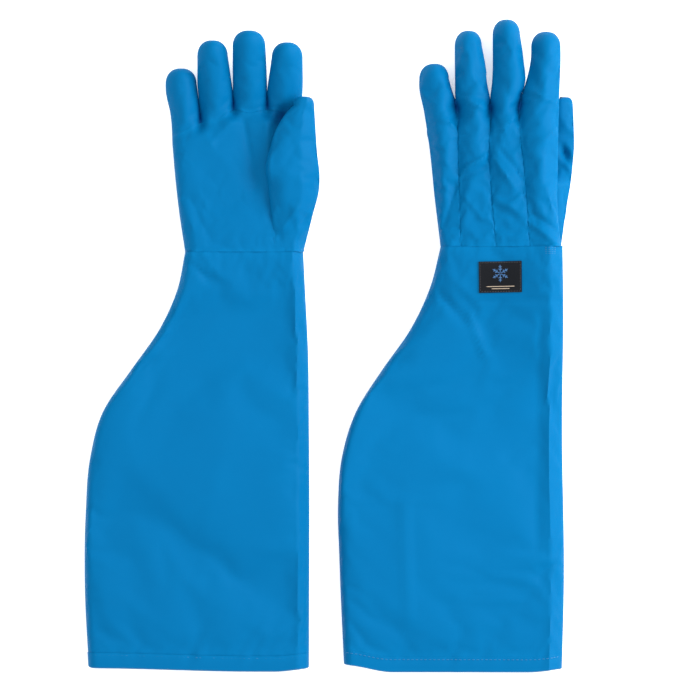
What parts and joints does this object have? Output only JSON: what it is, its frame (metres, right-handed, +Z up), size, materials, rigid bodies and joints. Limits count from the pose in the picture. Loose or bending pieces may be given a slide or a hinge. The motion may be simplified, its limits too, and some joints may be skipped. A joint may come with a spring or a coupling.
{
  "type": "cryogenic gloves",
  "caption": "Shoulder-length padded gloves for handling very cold things, with flared sleeves, lying flat side by side, palm up and palm down.",
  "frame": {"origin": "on the resting surface, under the middle of the pair's box", "axes": "+Z up from the resting surface, +Y from the hems towards the fingertips, +X from the right-hand glove towards the left-hand glove"},
  "size_m": [0.4897, 0.6502, 0.0545],
  "materials": {
    "shell_cloth": "woven nylon with a slight sheen",
    "insulation": "quilted white batting",
    "lining": "brushed knit",
    "label_cloth": "woven satin label"
  },
  "bodies": {
    "right_sleeve": {"right_sleeve_front_panel": "shell_cloth", "right_sleeve_back_panel": "shell_cloth", "right_sleeve_insulation": "insulation", "right_sleeve_lining": "lining", "right_sleeve_hem": "shell_cloth"},
    "right_hand": {"right_wrist_band": "shell_cloth", "right_palm_panel": "shell_cloth", "right_thumb_gusset": "shell_cloth", "right_hand_insulation": "insulation", "right_hand_lining": "lining", "right_little_back_strip": "shell_cloth", "right_ring_back_strip": "shell_cloth", "right_middle_back_strip": "shell_cloth", "right_index_back_strip": "shell_cloth"},
    "right_little_finger": {"right_little_finger_shell": "shell_cloth", "right_little_finger_insulation": "insulation", "right_little_finger_lining": "lining"},
    "right_ring_finger": {"right_ring_finger_shell": "shell_cloth", "right_ring_finger_insulation": "insulation", "right_ring_finger_lining": "lining"},
    "right_middle_finger": {"right_middle_finger_shell": "shell_cloth", "right_middle_finger_insulation": "insulation", "right_middle_finger_lining": "lining"},
    "right_index_finger": {"right_index_finger_shell": "shell_cloth", "right_index_finger_insulation": "insulation", "right_index_finger_lining": "lining"},
    "right_thumb": {"right_thumb_shell": "shell_cloth", "right_thumb_insulation": "insulation", "right_thumb_lining": "lining"},
    "left_sleeve": {"left_sleeve_front_panel": "shell_cloth", "left_sleeve_back_panel": "shell_cloth", "left_sleeve_insulation": "insulation", "left_sleeve_lining": "lining", "left_sleeve_hem": "shell_cloth", "left_label": "label_cloth"},
    "left_hand": {"left_wrist_band": "shell_cloth", "left_palm_panel": "shell_cloth", "left_thumb_gusset": "shell_cloth", "left_hand_insulation": "insulation", "left_hand_lining": "lining", "left_little_back_strip": "shell_cloth", "left_ring_back_strip": "shell_cloth", "left_middle_back_strip": "shell_cloth", "left_index_back_strip": "shell_cloth"},
    "left_little_finger": {"left_little_finger_shell": "shell_cloth", "left_little_finger_insulation": "insulation", "left_little_finger_lining": "lining"},
    "left_ring_finger": {"left_ring_finger_shell": "shell_cloth", "left_ring_finger_insulation": "insulation", "left_ring_finger_lining": "lining"},
    "left_middle_finger": {"left_middle_finger_shell": "shell_cloth", "left_middle_finger_insulation": "insulation", "left_middle_finger_lining": "lining"},
    "left_index_finger": {"left_index_finger_shell": "shell_cloth", "left_index_finger_insulation": "insulation", "left_index_finger_lining": "lining"},
    "left_thumb": {"left_thumb_shell": "shell_cloth", "left_thumb_insulation": "insulation", "left_thumb_lining": "lining"}
  },
  "joints": [
    {"name": "left_glove_lift", "type": "slide", "parent": "right_sleeve", "child": "left_sleeve", "axis": [0, 0, 1], "range_m": [0, 0.25]},
    {"name": "right_wrist_bend", "type": "hinge", "parent": "right_sleeve", "child": "right_hand", "pos_m": [-0.0892, 0.08603, 0.01493], "axis": [1, 0, 0], "range_deg": [-45, 60], "stiffness_Nm_per_rad": 1.5},
    {"name": "right_little_finger_bend", "type": "hinge", "parent": "right_hand", "child": "right_little_finger", "pos_m": [-0.1457, 0.2249, 0.014], "axis": [0.9903, 0.1392, 0], "range_deg": [-15, 65], "stiffness_Nm_per_rad": 0.3},
    {"name": "right_ring_finger_bend", "type": "hinge", "parent": "right_hand", "child": "right_ring_finger", "pos_m": [-0.1147, 0.2329, 0.014], "axis": [0.999, 0.0436, 0], "range_deg": [-15, 65], "stiffness_Nm_per_rad": 0.3},
    {"name": "right_middle_finger_bend", "type": "hinge", "parent": "right_hand", "child": "right_middle_finger", "pos_m": [-0.0807, 0.2359, 0.014], "axis": [0.9998, 0.0175, 0], "range_deg": [-15, 65], "stiffness_Nm_per_rad": 0.3},
    {"name": "right_index_finger_bend", "type": "hinge", "parent": "right_hand", "child": "right_index_finger", "pos_m": [-0.0462, 0.2349, 0.014], "axis": [0.9986, -0.0523, 0], "range_deg": [-15, 65], "stiffness_Nm_per_rad": 0.3},
    {"name": "right_thumb_bend", "type": "hinge", "parent": "right_hand", "child": "right_thumb", "pos_m": [-0.0372, 0.1719, 0.03895], "axis": [1, 0, 0], "range_deg": [0, 50], "stiffness_Nm_per_rad": 0.25},
    {"name": "left_wrist_bend", "type": "hinge", "parent": "left_sleeve", "child": "left_hand", "pos_m": [0.16623, 0.0909, 0.02957], "axis": [-0.9781, 0, -0.2079], "range_deg": [-45, 60], "stiffness_Nm_per_rad": 1.5},
    {"name": "left_little_finger_bend", "type": "hinge", "parent": "left_hand", "child": "left_little_finger", "pos_m": [0.11096, 0.2299, 0.01692], "axis": [-0.9686, -0.1392, -0.2059], "range_deg": [-15, 65], "stiffness_Nm_per_rad": 0.3},
    {"name": "left_ring_finger_bend", "type": "hinge", "parent": "left_hand", "child": "left_ring_finger", "pos_m": [0.14128, 0.2379, 0.02336], "axis": [-0.9772, -0.0436, -0.2077], "range_deg": [-15, 65], "stiffness_Nm_per_rad": 0.3},
    {"name": "left_middle_finger_bend", "type": "hinge", "parent": "left_hand", "child": "left_middle_finger", "pos_m": [0.17454, 0.2409, 0.03043], "axis": [-0.978, -0.0175, -0.2079], "range_deg": [-15, 65], "stiffness_Nm_per_rad": 0.3},
    {"name": "left_index_finger_bend", "type": "hinge", "parent": "left_hand", "child": "left_index_finger", "pos_m": [0.20829, 0.2399, 0.0376], "axis": [-0.9768, 0.0523, -0.2076], "range_deg": [-15, 65], "stiffness_Nm_per_rad": 0.3},
    {"name": "left_thumb_bend", "type": "hinge", "parent": "left_hand", "child": "left_thumb", "pos_m": [0.22221, 0.1769, 0.01575], "axis": [-0.9781, 0, -0.2079], "range_deg": [0, 50], "stiffness_Nm_per_rad": 0.25}
  ]
}
